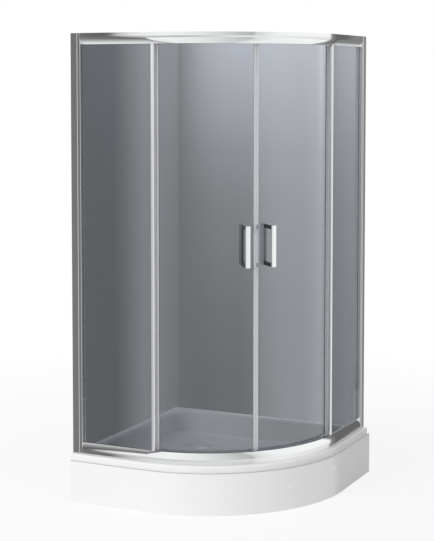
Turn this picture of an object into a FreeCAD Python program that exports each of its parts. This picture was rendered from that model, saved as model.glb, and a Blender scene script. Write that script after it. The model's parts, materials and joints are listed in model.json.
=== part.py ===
import FreeCAD, Part
import os
from math import cos, degrees, radians, sin, sqrt

V = FreeCAD.Vector

# Quadrant shower enclosure on a raised acrylic tray, in millimetres.
# The origin is the centre of the square footprint on the floor. The wall planes are x = -side / 2 and
# y = +side / 2, the curved front faces -Y and +X, and +Z is up. The plane x = -y is the mirror plane.
# u is the distance in from the tray's outer outline, t the distance along it past the left tangent point,
# and h the height above a rail's seat.

# Overall sizes
side = 900.0               # each wall side of the tray
front_radius = 580.0       # outer radius of the curved front
tray_height = 185.0        # floor to the top of the tray's rim
frame_height = 1615.0      # top of the rim to the top of the upper rail

# Front panel below the rim
panel_height = 160.0
panel_wall = 4.0
panel_edge = 3.0           # bevel along the top of the face
panel_flange = 22.0        # return flange along the floor
skirt_inset = 10.5         # tray skirt, set back behind the panel's face
skirt_drop = 45.0          # rim top to the skirt's lower edge
panel_gap = 0.3            # panel to skirt, and clips to skirt
clip_width = 40.0
clip_wall = 3.0
clip_rise = 12.0           # how far a clip reaches up behind the skirt
clip_angles = (22.0, 45.0, 68.0)
clip_run = 200.0           # clip on a straight, from the tangent point

# Tray
shell = 4.0                # acrylic with its backing
rim_radius = 6.0
front_rim = 76.0           # width of the rim under the rails
wall_rim = 27.0            # width of the rim along the walls
basin_depth = 99.0
basin_corner = 95.0        # plan radius of the basin in the wall corner
basin_end = 70.0           # plan radius at the two ends of the front
basin_lip = 8.0            # bevel round the mouth
basin_draft = 22.0         # how far the walls come in on the way down
basin_cove = 14.0          # bevel round the floor
seat_depth = 6.0           # sunk seat round the waste
seat_extra = 2.0           # extra thickness under the seat

# Waste and trap
waste_offset = 215.0       # waste centre to each wall
waste_hole = 45.0          # radius of the hole in the tray
flange_radius = 54.0
flange_thickness = 2.5
cover_radius = 52.0
cover_thickness = 3.0
cover_bevel = 1.2
cover_studs = 6.0          # studs under the cover, which centre it in the flange
trap_radius = 50.0
trap_wall = 3.0
trap_floor = 14.0          # height of the trap's underside above the floor
outlet_radius = 20.0       # 40 mm waste spigot
outlet_wall = 2.0
outlet_length = 42.0
shoulder = 3.0             # collar that a pipe socket stops against
outlet_drop = 32.0         # middle of the spigot below the trap's top
collar_height = 6.0
seal_thickness = 2.0
flange_sides = 40

# Support under the tray
board_thickness = 12.0
board_opening = 16.0       # square opening beyond the waste flange
bar_size = 25.0
bar_wall = 1.5
board_margin = 12.0        # board's edge inside the edge of the basin's floor
front_bar = 235.0          # front bar to the front of the footprint
middle_bar = 215.0         # middle bar to the waste
back_bar = 115.0           # back bar to the back wall
bar_ends = ((150.0, 300.0), (120.0, 170.0), (120.0, 170.0))  # each bar's ends, in from the left and right
foot_offset = 40.0         # foot to the end of its bar
stud_radius = 6.0
nut_flats = 19.0
nut_thickness = 10.0
pad_radius = 25.0
pad_thickness = 12.0
fit_clearance = 0.1        # plain fixed pins and sleeves in their holes
hidden_sides = 16          # flat sides that stand for round on pieces out of sight

# Rails: one extrusion, seat down at the foot and seat up at the head
rail_inset = 26.0          # outer skin at the seat
lip_inset = 36.6           # outer skin at the glass pocket's lip
rail_height = 42.5
skin_straight = 14.0       # height of the flat part of the skin above the seat
rail_wall = 1.8
pocket_depth = 14.0
chamber_top = 38.0
key_inset = 31.6           # connector inside the rail's nose
key_gap = 0.2
key_length = 32.0
track_height = 34.0        # running face of the roller track
track_wall = 2.0
track_lip = 2.5
lip_wall = 1.4
roller_side_gap = 0.7      # roller to the rail's web
roller_inner_gap = 2.3     # roller to the track's lip

# Glass
glass_thickness = 5.0
glass_inset = 43.0         # middle of the fixed panes
gasket = 1.0
door_gap = 1.3             # rail to the door's outer face
door_foot_gap = 6.0        # door edge to the tray, and to the head

# Wall profiles and the frames that slide in them
profile_inset = 25.3
profile_reach = 28.0
profile_depth = 34.7
profile_wall = 1.5
wall_hole = 3.0            # radius of the wall screws' holes
wall_hole_spacing = 1400.0  # top hole to bottom hole
cap_depth = 12.0
side_frame_start = 8.0
side_frame_reach = 40.0
side_frame_wall = 1.5
side_frame_gap = 0.3

# Upright edge of each fixed pane
edge_start = 16.0
edge_width = 13.0
edge_depth = 13.0
edge_radius = 2.5
edge_grip = 8.0
fin = 1.2                  # thickness of the overlapping sealing fins
fin_gap = 0.9

# Doors
door_edge = 30.0           # tangent point to the door's trailing edge, along the glass
door_travel = 25.0         # degrees
meeting_gap = 0.4
meeting_seal = 9.4         # width of each magnetic seal
seal_grip = 6.0
seal_wall = 1.7
seal_slack = 0.1
trail_seal_lead = 4.6      # how far the trailing seal reaches past the edge of the glass
trail_seal_width = 12.0

# Rollers, guides and their bolts
roller_angles = (21.5, 41.0)
roller_radius = 11.5
roller_width = 5.5
roller_rest = 0.15         # tread to track
running_clearance = 0.06
axle_radius = 3.0
axle_play = 0.2            # roller to the axle's shoulder
shoulder_radius = 5.8
glass_hole = 6.0
cap_radius = 9.0
cap_height = 7.0
cap_seat = 0.1
guide_length = 16.0
guide_width = 4.6
guide_gap = 0.3
jaw_wall = 1.2             # guide's clip round the foot of the door
jaw_gap = 0.4              # clip to the lower rail's lips
jaw_rise = 12.0

# Handles
handle_angle = 39.85       # degrees from the tangent point
handle_height = 156.0
handle_centre = 820.0      # above the tray's rim
handle_width = 18.0
handle_reach = 57.5        # glass to the grip's outer face
grip_thickness = 9.0
grip_crown = 1.2
leg_height = 15.0
leg_width = 14.0
inner_handle_width = 8.0
inner_handle_reach = 19.5
inner_grip_thickness = 7.0
handle_seat = 0.4          # thickness of the seat ring between a leg and the glass
handle_bolt = 2.5
handle_hole = 4.0

# Stops in the upper rail
stop_length = 14.0
stop_gap = 1.0

# Worked out from the sizes above
half = side / 2
total = tray_height + frame_height
centre = V(half - front_radius, front_radius - half, 0)
UP = V(0, 0, 1)
skirt_foot = tray_height - skirt_drop
basin_floor = tray_height - basin_depth
seat_top = basin_floor - seat_depth
seat_foot = seat_top - shell - seat_extra
seal_foot = seat_foot - seal_thickness
outlet_height = seal_foot - outlet_drop
basin_foot = basin_draft + basin_cove
board_top = basin_floor - shell
bar_top = board_top - board_thickness
waste = V(-half + waste_offset, half - waste_offset, 0)
bar_rows = (-half + front_bar, waste.y - middle_bar, half - back_bar)
skin_reach = lip_inset - rail_inset
skin_radius = (skin_reach ** 2 + (rail_height - skin_straight) ** 2) / (2 * skin_reach)
pocket_outer = glass_inset - glass_thickness / 2 - gasket
pocket_inner = glass_inset + glass_thickness / 2 + gasket
pocket_floor = rail_height - pocket_depth
web_face = pocket_inner + rail_wall
channel_edge = web_face + roller_side_gap + roller_width + roller_inner_gap + lip_wall
guard_height = track_height - 2 * roller_radius - 2 * guide_gap
door_outer = channel_edge + door_gap
door_inner = door_outer + glass_thickness
door_radius = front_radius - door_outer
door_start = degrees(door_edge / door_radius)
opening_foot = tray_height + rail_height
opening_head = total - rail_height
roller_z = total - track_height + roller_rest + roller_radius
roller_outer = web_face + roller_side_gap
roller_inner = roller_outer + roller_width
handle_z = tray_height + handle_centre
edge_top_inset = glass_inset - edge_depth / 2
edge_back_inset = edge_top_inset + edge_depth

parts = {}


def add(name, *shapes):
    """Keep one node, made of one solid or of several separate ones."""
    solids = [solid for shape in shapes for solid in shape.Solids]
    parts[name] = solids[0] if len(solids) == 1 else Part.makeCompound(solids)


def mirrored(shape):
    """The same piece on the other side of the enclosure's diagonal."""
    return shape.mirror(V(0, 0, 0), V(1, 1, 0))


def turned(shape, angle):
    """A piece made at the left tangent point, carried round the curved front."""
    copy = shape.copy()
    copy.rotate(centre, UP, angle)
    return copy


def joined(*shapes):
    return shapes[0].fuse(list(shapes[1:])).removeSplitter()


def face(points, place):
    """A plane face. A point of four numbers is an arc's middle and its end."""
    edges = []
    last = points[0]
    for point in points[1:] + points[:1]:
        end = point[-2:]
        if len(point) == 4:
            edges.append(Part.Arc(place(*last), place(*point[:2]), place(*end)).toShape())
        else:
            edges.append(Part.LineSegment(place(*last), place(*end)).toShape())
        last = end
    return Part.Face(Part.Wire(edges))


def solid(shape):
    if shape.Volume < 0:
        shape.reverse()
    return shape


def section(u, h):
    """Place of a point of a section swept along the front."""
    return V(0, u - half, h)


def plan(t, u):
    """Place of a point of an upright extrusion near the left tangent point."""
    return V(centre.x + t, u - half, 0)


def column(points, foot, head):
    """Upright extrusion of a plan."""
    return solid(face(points, lambda t, u: plan(t, u) + UP * foot).extrude(UP * (head - foot)))


def block(t, u, z):
    """Rectangular block from pairs of limits."""
    return column([(t[0], u[0]), (t[1], u[0]), (t[1], u[1]), (t[0], u[1])], z[0], z[1])


def peg(t, z, u, radius):
    """Round pin or hole that lies square to the front."""
    return Part.makeCylinder(radius, u[1] - u[0], plan(t, u[0]) + UP * z, V(0, 1, 0))


def rod(t, z, u, radius):
    """Pin or hole with flat sides that lies square to the front."""
    turns = [radians(360 * k / hidden_sides) for k in range(hidden_sides + 1)]
    outline = Part.makePolygon([plan(t + radius * cos(a), u[0]) + UP * (z + radius * sin(a)) for a in turns])
    return solid(Part.Face(outline).extrude(V(0, u[1] - u[0], 0)))


def post(x, y, z, radius):
    """Upright round pin or hole."""
    return Part.makeCylinder(radius, z[1] - z[0], V(x, y, z[0]), UP)


def prism(x, y, z, radius, sides=hidden_sides):
    """Upright post with flat sides, whose corners lie on the radius."""
    turns = [radians(360 * k / sides) for k in range(sides + 1)]
    outline = Part.makePolygon([V(x + radius * cos(a), y + radius * sin(a), z[0]) for a in turns])
    return Part.Face(outline).extrude(UP * (z[1] - z[0]))


def swept(outline, start):
    """A section carried along the left straight, round the front and along the right straight."""
    straight = outline.copy()
    straight.translate(V(start - half, 0, 0))
    straight = solid(straight.extrude(V(centre.x + half - start, 0, 0)))
    bend = outline.copy()
    bend.translate(V(centre.x, 0, 0))
    bend = solid(bend.revolve(centre, UP, 90))
    return joined(bend, straight, mirrored(straight))


def quadrant(front, wall, corner, end, z):
    """Closed outline set in from the tray's front and walls, with rounded corners."""
    left = -half + wall
    back = half - wall
    near = -half + front
    right = half - front
    slant = sqrt(0.5)
    arc = front_radius - front
    c = centre

    def bend(x, y, radius, ax, ay, bx, by):
        # From (ax, ay) to (bx, by) round (x, y), where a radius of zero is a plain corner
        first = V(x + radius * ax, y + radius * ay, z)
        middle = V(x + radius * (ax + bx) * slant, y + radius * (ay + by) * slant, z)
        last = V(x + radius * bx, y + radius * by, z)
        return Part.Arc(first, middle, last)

    pieces = [
        Part.LineSegment(V(left + end, near, z), V(c.x, near, z)),
        Part.Arc(V(c.x, near, z), V(c.x + arc * slant, c.y - arc * slant, z), V(right, c.y, z)),
        Part.LineSegment(V(right, c.y, z), V(right, back - end, z)),
        Part.LineSegment(V(right - end, back, z), V(left + corner, back, z)),
        Part.LineSegment(V(left, back - corner, z), V(left, near + end, z)),
    ]
    if end:
        pieces.insert(3, bend(right - end, back - end, end, 1, 0, 0, 1))
        pieces.append(bend(left + end, near + end, end, -1, 0, 0, -1))
    if corner:
        pieces.insert(-2 if end else -1, bend(left + corner, back - corner, corner, 0, 1, -1, 0))
    return Part.Wire([piece.toShape() for piece in pieces])


def quadrant_block(front, wall, corner, end, foot, head):
    return solid(Part.Face(quadrant(front, wall, corner, end, foot)).extrude(UP * (head - foot)))


def revolved(points, axis):
    """Turned solid about an upright axis, from radius and height pairs."""
    outline = face(points, lambda r, z: V(axis.x + r, axis.y, z))
    return solid(outline.revolve(axis, UP, 360))


# Tray

def basin(levels):
    """Drafted bowl through the levels, each a depth below the rim and an inset from its mouth."""
    rings = []
    for depth, step in levels:
        corner = basin_corner - step
        end = basin_end - step
        rings.append(quadrant(front_rim + step, wall_rim + step, corner, end, tray_height - depth))
    return Part.makeLoft(rings, True, True)


def tray():
    body = quadrant_block(skirt_inset, 0, 0, 0, skirt_foot, tray_height)
    away = rim_radius * (1 - sqrt(0.5))
    corner = face(
        [
            (skirt_inset, -rim_radius), (skirt_inset + away, -away, skirt_inset + rim_radius, 0),
            (skirt_inset + rim_radius, 1), (skirt_inset - 1, 1), (skirt_inset - 1, -rim_radius),
        ],
        lambda u, h: section(u, tray_height + h),
    )
    body = body.cut(swept(corner, -1))
    inside = quadrant_block(skirt_inset + shell, shell, 0, 0, skirt_foot - 1, tray_height - shell)
    body = body.cut(inside)
    wall_foot = basin_depth - basin_cove
    levels = [(0, 0), (basin_lip, basin_lip), (wall_foot, basin_draft), (basin_depth, basin_foot)]
    under = [(shell, 0), (wall_foot + shell / 2, basin_draft - shell)]
    under.append((basin_depth + shell, basin_foot - shell))
    body = body.fuse(basin(under))
    body = body.fuse(post(waste.x, waste.y, (seat_foot, basin_floor - 1), flange_radius + 10))
    body = body.cut(basin(levels))
    brim = basin_floor + 0.5
    wide = flange_radius + 5
    seat = revolved([(0, seat_top), (wide - 3.5, seat_top), (wide, brim), (0, brim)], waste)
    body = body.cut([seat, post(waste.x, waste.y, (seat_foot - 1, seat_top + 1), waste_hole)])
    add("shower_tray", body.removeSplitter())


def front_panel():
    bevel = panel_edge
    flange = skirt_inset - panel_gap
    outline = face(
        [
            (0, 0), (0, panel_height - bevel), (bevel, panel_height), (flange, panel_height),
            (flange, panel_height - panel_wall), (panel_wall, panel_height - panel_wall),
            (panel_wall, panel_wall), (panel_flange, panel_wall), (panel_flange, 0),
        ],
        section,
    )
    add("front_panel", swept(outline, 0))


def panel_clips():
    inner = skirt_inset - panel_gap
    outer = skirt_inset + shell + panel_gap
    foot = skirt_foot - panel_gap
    outline = face(
        [
            (panel_wall, foot - clip_wall), (outer + clip_wall, foot - clip_wall),
            (outer + clip_wall, skirt_foot + clip_rise), (outer, skirt_foot + clip_rise), (outer, foot),
            (inner, foot), (inner, skirt_foot + clip_rise), (panel_wall, skirt_foot + clip_rise),
        ],
        section,
    )
    outline.translate(V(centre.x, 0, 0))
    sweep = degrees(clip_width / front_radius)
    clips = [turned(solid(outline.revolve(centre, UP, sweep)), angle - sweep / 2) for angle in clip_angles]
    straight = outline.copy()
    straight.translate(V(-clip_run, 0, 0))
    straight = solid(straight.extrude(V(clip_width, 0, 0)))
    add("panel_clips", *clips, straight, mirrored(straight))


# Support under the tray

def foot_places():
    for y, ends in zip(bar_rows, bar_ends):
        yield -half + ends[0] + foot_offset, y
        yield half - ends[1] - foot_offset, y


def support():
    """Reinforcing board under the basin on three steel bars."""
    inset = basin_foot + board_margin
    corner = basin_corner - inset
    end = basin_end - inset
    board = quadrant_block(front_rim + inset, wall_rim + inset, corner, end, bar_top, board_top)
    reach = flange_radius + board_opening
    corner = V(waste.x - reach, waste.y - reach, bar_top - 1)
    board = board.cut(Part.makeBox(2 * reach, 2 * reach, board_thickness + 2, corner))
    low = bar_top - bar_size
    inner = bar_size - 2 * bar_wall
    bars = []
    for y, ends in zip(bar_rows, bar_ends):
        start = -half + ends[0]
        length = side - ends[0] - ends[1]
        bar = Part.makeBox(length, bar_size, bar_size, V(start, y - bar_size / 2, low))
        bore = Part.makeBox(length + 2, inner, inner, V(start - 1, y - inner / 2, low + bar_wall))
        bars.append(bar.cut(bore))
    hole = stud_radius + fit_clearance
    holes = [prism(x, y, (low - 1, low + bar_wall + 1), hole) for x, y in foot_places()]
    add("base_board", board)
    add("support_bars", *[bar.cut(holes) for bar in bars])


def feet():
    """Levelling bolts, threaded into the bars, on round pads."""
    bolts = []
    pads = []
    middle = bar_top - bar_size / 2
    for x, y in foot_places():
        head = prism(x, y, (pad_thickness, pad_thickness + nut_thickness), nut_flats / sqrt(3), 6)
        stud = prism(x, y, (pad_thickness + nut_thickness - 1, middle), stud_radius)
        bolts.append(joined(head, stud))
        pads.append(prism(x, y, (0, pad_thickness), pad_radius))
    add("foot_bolts", *bolts)
    add("foot_pads", *pads)


# Waste and trap

def drain():
    throat = waste_hole - 1
    bore = throat - 3
    tail = seat_foot - 14
    top = seat_top + flange_thickness
    x, y = waste.x, waste.y
    plate = prism(x, y, (seat_top, top), flange_radius, flange_sides)
    neck = prism(x, y, (tail, top), throat, flange_sides)
    add("waste_flange", joined(plate, neck).cut(prism(x, y, (tail - 1, top + 1), bore, flange_sides)))
    ring = flange_radius + 4
    seal = prism(x, y, (seal_foot, seat_foot), ring, flange_sides)
    add("waste_seal", seal.cut(prism(x, y, (seal_foot - 1, seat_foot + 1), throat + 0.4, flange_sides)))

    bowl = prism(x, y, (trap_floor, seal_foot), trap_radius)
    collar = prism(x, y, (seal_foot - collar_height, seal_foot), ring)
    inner = prism(x, y, (trap_floor + trap_wall, seal_foot + 1), trap_radius - trap_wall)
    start = V(x, y, outlet_height)
    stop = trap_radius + shoulder
    to_wall = V(-1, 0, 0)
    base = Part.makeCylinder(outlet_radius + shoulder, stop, start, to_wall)
    pipe = Part.makeCylinder(outlet_radius, stop + outlet_length, start, to_wall)
    hole = Part.makeCylinder(outlet_radius - outlet_wall, stop + outlet_length + 1, start, to_wall)
    add("trap_body", joined(bowl, collar, base, pipe).cut([inner, hole]))

    seat = top + 0.1
    crown = seat + cover_thickness
    disc = prism(x, y, (seat, crown), cover_radius, flange_sides)
    disc = disc.makeChamfer(cover_bevel, [edge for edge in disc.Edges if edge.BoundBox.ZMin > crown - 0.01])
    studs = []
    for turn in (0, 120, 240):
        stud = Part.makeBox(2.5, 6, cover_studs + 1, V(x + bore - 5, y - 3, seat - cover_studs))
        stud.rotate(waste, UP, turn)
        studs.append(stud)
    add("drain_cover", joined(disc, *studs))


# Rails

def skin(height, inward):
    """Inset of the rail's outer skin, or of a line set in from it, at a height above the seat."""
    return rail_inset + skin_radius - sqrt((skin_radius - inward) ** 2 - (height - skin_straight) ** 2)


def rail_face(place):
    """Extrusion with a hollow convex nose, a glass pocket and a roller channel open to the inside."""
    w = rail_wall
    lip = channel_edge - lip_wall
    lip_foot = track_height - track_lip
    track_back = track_height + track_wall
    middle = (skin_straight + rail_height) / 2
    guard_back = guard_height - w
    body = face(
        [
            (rail_inset, 0), (rail_inset, skin_straight), (skin(middle, 0), middle, lip_inset, rail_height),
            (pocket_outer, rail_height), (pocket_outer, pocket_floor), (pocket_inner, pocket_floor),
            (pocket_inner, rail_height), (web_face, rail_height), (web_face, track_back),
            (channel_edge, track_back), (channel_edge, lip_foot), (lip, lip_foot), (lip, track_height),
            (web_face, track_height), (web_face, guard_height), (channel_edge, guard_height),
            (channel_edge, guard_back), (web_face, guard_back), (web_face, 0),
        ],
        place,
    )
    chamber = face(
        [
            (rail_inset + w, w), (rail_inset + w, skin_straight), (skin(chamber_top, w), chamber_top),
            (pocket_outer - w, chamber_top), (pocket_outer - w, pocket_floor - w),
            (pocket_inner, pocket_floor - w), (pocket_inner, w),
        ],
        place,
    )
    return body.cut(chamber).Faces[0]


def at_foot(u, h):
    return section(u, tray_height + h)


def at_head(u, h):
    return section(u, total - h)


def rails():
    add("bottom_rail", swept(rail_face(at_foot), side_frame_reach))
    add("top_rail", swept(rail_face(at_head), side_frame_reach))
    # Moulded connectors that key each end of a rail to its side frame
    ends = []
    for place in (at_foot, at_head):
        key = face(
            [
                (key_inset, rail_wall + key_gap), (pocket_outer - 2 * rail_wall, rail_wall + key_gap),
                (pocket_outer - 2 * rail_wall, pocket_floor - 2 * rail_wall),
                (key_inset, pocket_floor - 2 * rail_wall),
            ],
            place,
        )
        key.translate(V(side_frame_reach - side_frame_wall - key_length / 4 - half, 0, 0))
        ends.append(solid(key.extrude(V(key_length, 0, 0))))
    add("rail_keys", *ends, *[mirrored(end) for end in ends])
    return ends


# Wall profiles and side frames. Their plans count s from the left wall.

def wall_plan(points):
    offset = -half - centre.x
    return [(point[0] + offset, point[1]) for point in points]


def rounded_long_edges(shape, radius, keep):
    """Round the upright edges that keep() picks."""
    edges = []
    for edge in shape.Edges:
        box = edge.BoundBox
        if box.ZLength > frame_height / 2 and keep(box.Center):
            edges.append(edge)
    return shape.makeFillet(radius, edges)


def wall_profile():
    """Channel screwed to the wall, open towards the glass."""
    near = profile_inset
    far = profile_inset + profile_depth
    w = profile_wall
    reach = profile_reach
    shape = column(
        wall_plan([
            (0, near), (reach, near), (reach, near + w), (w, near + w),
            (w, far - w), (reach, far - w), (reach, far), (0, far),
        ]),
        tray_height, total,
    )
    nose = (reach - half - 0.1, near - half + 0.1)
    shape = rounded_long_edges(shape, w - 0.2, lambda at: at.x > nose[0] and at.y < nose[1])
    middle = tray_height + frame_height / 2
    along = (near + far) / 2 - half
    for z in (middle - wall_hole_spacing / 2, middle + wall_hole_spacing / 2):
        shape = shape.cut(Part.makeCylinder(wall_hole, w + 2, V(-half - 1, along, z), V(1, 0, 0)))
    return shape


def side_frame(keys):
    """Upright with a glass pocket, which slides in the wall profile and is keyed to both rails."""
    w = side_frame_wall
    near = profile_inset + profile_wall + side_frame_gap
    far = profile_inset + profile_depth - profile_wall - side_frame_gap
    start = side_frame_start
    end = side_frame_reach
    floor = end - pocket_depth
    shape = column(
        wall_plan([
            (start, near), (end, near), (end, pocket_outer), (floor, pocket_outer), (floor, pocket_inner),
            (end, pocket_inner), (end, far), (start, far), (start, far - w), (end - w, far - w),
            (end - w, pocket_inner + w), (floor - w, pocket_inner + w), (floor - w, pocket_outer - w),
            (end - w, pocket_outer - w), (end - w, near + w), (start, near + w),
        ]),
        tray_height, total,
    )
    nose = (end - half - 0.1, near - half + 0.1)
    shape = rounded_long_edges(shape, w - 0.3, lambda at: at.x > nose[0] and at.y < nose[1])
    return shape.cut(keys)


def uprights(keys):
    profile = wall_profile()
    frame = side_frame(keys)
    add("wall_profile_left", profile)
    add("wall_profile_right", mirrored(profile))
    add("side_frame_left", frame)
    add("side_frame_right", mirrored(frame))
    near = profile_inset + profile_wall
    far = profile_inset + profile_depth - profile_wall
    start = profile_wall
    end = side_frame_start
    cap = column(wall_plan([(start, near), (end, near), (end, far), (start, far)]), total - cap_depth, total)
    add("profile_caps", cap, mirrored(cap))


# Fixed panes

def fixed_panes():
    end = edge_start + edge_grip
    frame_end = side_frame_reach - half - centre.x
    start = frame_end - pocket_depth + gasket
    near = glass_inset - glass_thickness / 2
    far = glass_inset + glass_thickness / 2
    foot = tray_height + pocket_floor + gasket
    head = total - pocket_floor - gasket
    pane = block((start, end), (near, far), (foot, head))
    add("fixed_glass_left", pane)
    add("fixed_glass_right", mirrored(pane))

    lip = pocket_depth - gasket
    across = (pocket_outer, pocket_inner)
    low = block((frame_end, 0), across, (foot - gasket, foot - gasket + lip)).cut(pane)
    high = block((frame_end, 0), across, (head + gasket - lip, head + gasket)).cut(pane)
    upright = block((start - gasket, start - gasket + lip), across, (foot - gasket, head + gasket)).cut(pane)
    gaskets = (low, high, upright)
    add("glass_gaskets_left", *gaskets)
    add("glass_gaskets_right", *[mirrored(piece) for piece in gaskets])

    tight = (near - fit_clearance, far + fit_clearance)
    slot = block((edge_start - 1, end + 0.2), tight, (tray_height, total))
    tall = (opening_foot, opening_head)
    strip = block((edge_start, edge_start + edge_width), (edge_top_inset, edge_back_inset), tall)
    strip = rounded_long_edges(strip, edge_radius, lambda at: at.y < edge_top_inset - half + 0.1)
    strip = strip.cut(slot)
    add("edge_profile_left", strip)
    add("edge_profile_right", mirrored(strip))

    # Soft fin that the door's own fin closes against
    tip = door_outer - seal_wall - fin_gap
    last = edge_start + edge_width - 0.6
    seal = joined(
        block((edge_start + 1, last), (edge_back_inset, edge_back_inset + fin), tall),
        block((last - fin, last), (edge_back_inset, tip), tall),
    )
    add("overlap_seal_left", seal)
    add("overlap_seal_right", mirrored(seal))


# Doors. Each left piece is made at the tangent point, turned to its place and mirrored for the right door.

def door_wedge(start, end, outer, inner, foot, head):
    """Curved plate between two angles."""
    outline = face(
        [
            (outer, foot), (inner, foot), (inner, head), (outer, head),
        ],
        lambda u, z: V(centre.x, u - half, z),
    )
    return turned(solid(outline.revolve(centre, UP, end - start)), start)


def door_glass():
    end = 45 - degrees((meeting_gap / 2 + meeting_seal - seal_grip) / door_radius)
    foot = tray_height + door_foot_gap
    head = total - door_foot_gap
    pane = door_wedge(door_start, end, door_outer, door_inner, foot, head)
    through = (door_outer - 2, door_inner + 2)
    holes = [turned(peg(0, roller_z, through, glass_hole), angle) for angle in roller_angles]
    holes += [turned(peg(0, z, through, handle_hole), handle_angle) for z in handle_bolt_heights()]
    pane = pane.cut(holes)
    add("door_glass_left", pane)
    add("door_glass_right", mirrored(pane))


def door_seals():
    foot = opening_foot + 1.2
    head = opening_head - 1.2
    near = door_outer - seal_wall
    far = door_inner + seal_wall
    tight = (door_outer - seal_slack, door_inner + seal_slack)
    last = -meeting_gap / 2
    first = last - meeting_seal
    slot = block((first - 1, first + seal_grip + 0.2), tight, (foot - 1, head + 1))
    magnet = block((first, last), (near, far), (foot, head))
    magnet = rounded_long_edges(magnet, 1.2, lambda at: at.y < near - half + 0.1 or at.y > far - half - 0.1)
    magnet = turned(magnet.cut(slot), 45)
    add("magnetic_seal_left", magnet)
    add("magnetic_seal_right", mirrored(magnet))

    turn = degrees((door_edge - trail_seal_lead) / door_radius)
    sweep = degrees(trail_seal_width / door_radius)
    clip = door_wedge(turn, turn + sweep, near, far, foot, head)
    clip = clip.cut(door_wedge(door_start - 0.02, turn + sweep + 1, *tight, foot - 1, head + 1))
    reach = edge_back_inset + fin + fin_gap
    fin_turn = degrees(fin / door_radius)
    hook = door_wedge(turn, turn + fin_turn, reach, near + 0.1, foot, head)
    add("trailing_seal_left", joined(clip, hook))
    add("trailing_seal_right", mirrored(joined(clip, hook)))


def handle_bolt_heights():
    reach = (handle_height - leg_height) / 2
    return (handle_z - reach, handle_z + reach)


def handles():
    """Square chrome pull outside, slim pull inside, joined through the glass."""
    low = handle_z - handle_height / 2
    high = handle_z + handle_height / 2
    front = door_outer - handle_reach
    back = front + grip_thickness
    wide = handle_width / 2
    leg = leg_width / 2
    inner_front = door_inner + inner_handle_reach
    slim = inner_front - inner_grip_thickness
    inner_wide = inner_handle_width / 2
    sides = front + grip_crown
    grip = column([(-wide, sides), (0, front), (wide, sides), (wide, back), (-wide, back)], low, high)
    inner_grip = block((-inner_wide, inner_wide), (slim, inner_front), (low, high))
    legs = []
    inner_legs = []
    bolts = []
    for z in handle_bolt_heights():
        tall = (z - leg_height / 2, z + leg_height / 2)
        legs.append(block((-leg, leg), (back - 0.5, door_outer - handle_seat), tall))
        inner_legs.append(block((-leg / 2, leg / 2), (door_inner + handle_seat, slim + 0.5), tall))
        bolts.append(rod(0, z, (door_outer - handle_seat, door_inner + handle_seat), handle_bolt))
    for name, pieces in (
        ("outer_handle", [joined(grip, *legs)]),
        ("inner_handle", [joined(inner_grip, *inner_legs)]),
        ("handle_bolts", bolts),
    ):
        placed = [turned(piece, handle_angle) for piece in pieces]
        add(name + "_left", *placed)
        add(name + "_right", *[mirrored(piece) for piece in placed])


def turned_pin(points):
    """Solid turned about the inward line through a roller's centre, from radius and inset pairs."""
    outline = face(points, lambda r, u: V(centre.x + r, u - half, roller_z))
    return solid(outline.revolve(V(centre.x, 0, roller_z), V(0, 1, 0), 360))


def hangers():
    """Shouldered axles through the glass, with a nylon roller outside and a chrome cap inside."""
    shoulder = roller_inner + axle_play
    axle = turned_pin([
        (0, roller_outer + axle_play), (axle_radius, roller_outer + axle_play), (axle_radius, shoulder),
        (shoulder_radius, shoulder), (shoulder_radius, door_inner), (0, door_inner),
    ])
    bore = axle_radius + running_clearance
    rim = roller_radius
    wheel = turned_pin([(bore, roller_outer), (rim, roller_outer), (rim, roller_inner), (bore, roller_inner)])
    seat = door_inner + cap_seat
    cap = rod(0, roller_z, (seat, seat + cap_height), cap_radius)
    for name, piece in (("roller_axles", axle), ("roller_caps", cap)):
        placed = [turned(piece, angle) for angle in roller_angles]
        add(name + "_left", *placed)
        add(name + "_right", *[mirrored(item) for item in placed])
    for place, angle in zip(("trailing", "leading"), roller_angles):
        roller = turned(wheel, angle)
        add("top_roller_left_" + place, roller)
        add("top_roller_right_" + place, mirrored(roller))


def guides():
    """Shoes clipped on the foot of each door, which slide in the lower rail."""
    shoe_outer = roller_outer + guide_gap
    shoe_inner = shoe_outer + guide_width
    low = guard_height + guide_gap + tray_height
    high = track_height - guide_gap + tray_height
    wide = guide_length / 2
    nose = wide / 2
    shoe = face(
        [
            (-wide, low + nose), (-nose, low), (nose, low), (wide, low + nose),
            (wide, high - nose), (nose, high), (-nose, high), (-wide, high - nose),
        ],
        lambda t, z: V(centre.x + t, shoe_outer - half, z),
    )
    shoe = solid(shoe.extrude(V(0, guide_width, 0)))
    neck = block((-nose, nose), (shoe_inner - 0.5, door_outer), (low + nose, high - nose))
    foot = tray_height + door_foot_gap
    clear = channel_edge + jaw_gap
    jaw = block((-wide, wide), (clear, door_inner + jaw_wall), (foot - jaw_wall, foot + jaw_rise))
    slot = block((-wide - 1, wide + 1), (door_outer - 0.1, door_inner + 0.1), (foot, foot + jaw_rise + 1))
    guide = joined(shoe, neck, jaw).cut(slot)
    placed = [turned(guide, angle) for angle in roller_angles]
    add("bottom_guides_left", *placed)
    add("bottom_guides_right", *[mirrored(item) for item in placed])


def door_stops():
    """Rubber blocks in the upper rail's channel, where the trailing rollers end their travel."""
    overrun = (front_radius - roller_outer) * sin(radians(door_travel - roller_angles[0]))
    last = -overrun - roller_radius - stop_gap
    foot = total - track_height + 0.1
    head = total - guard_height - 0.1
    stop = block((last - stop_length, last), (web_face + 0.1, channel_edge - lip_wall - 0.2), (foot, head))
    add("door_stops", stop, mirrored(stop))


tray()
front_panel()
panel_clips()
support()
feet()
drain()
uprights(rails())
fixed_panes()
door_glass()
door_seals()
handles()
hangers()
guides()
door_stops()

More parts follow.
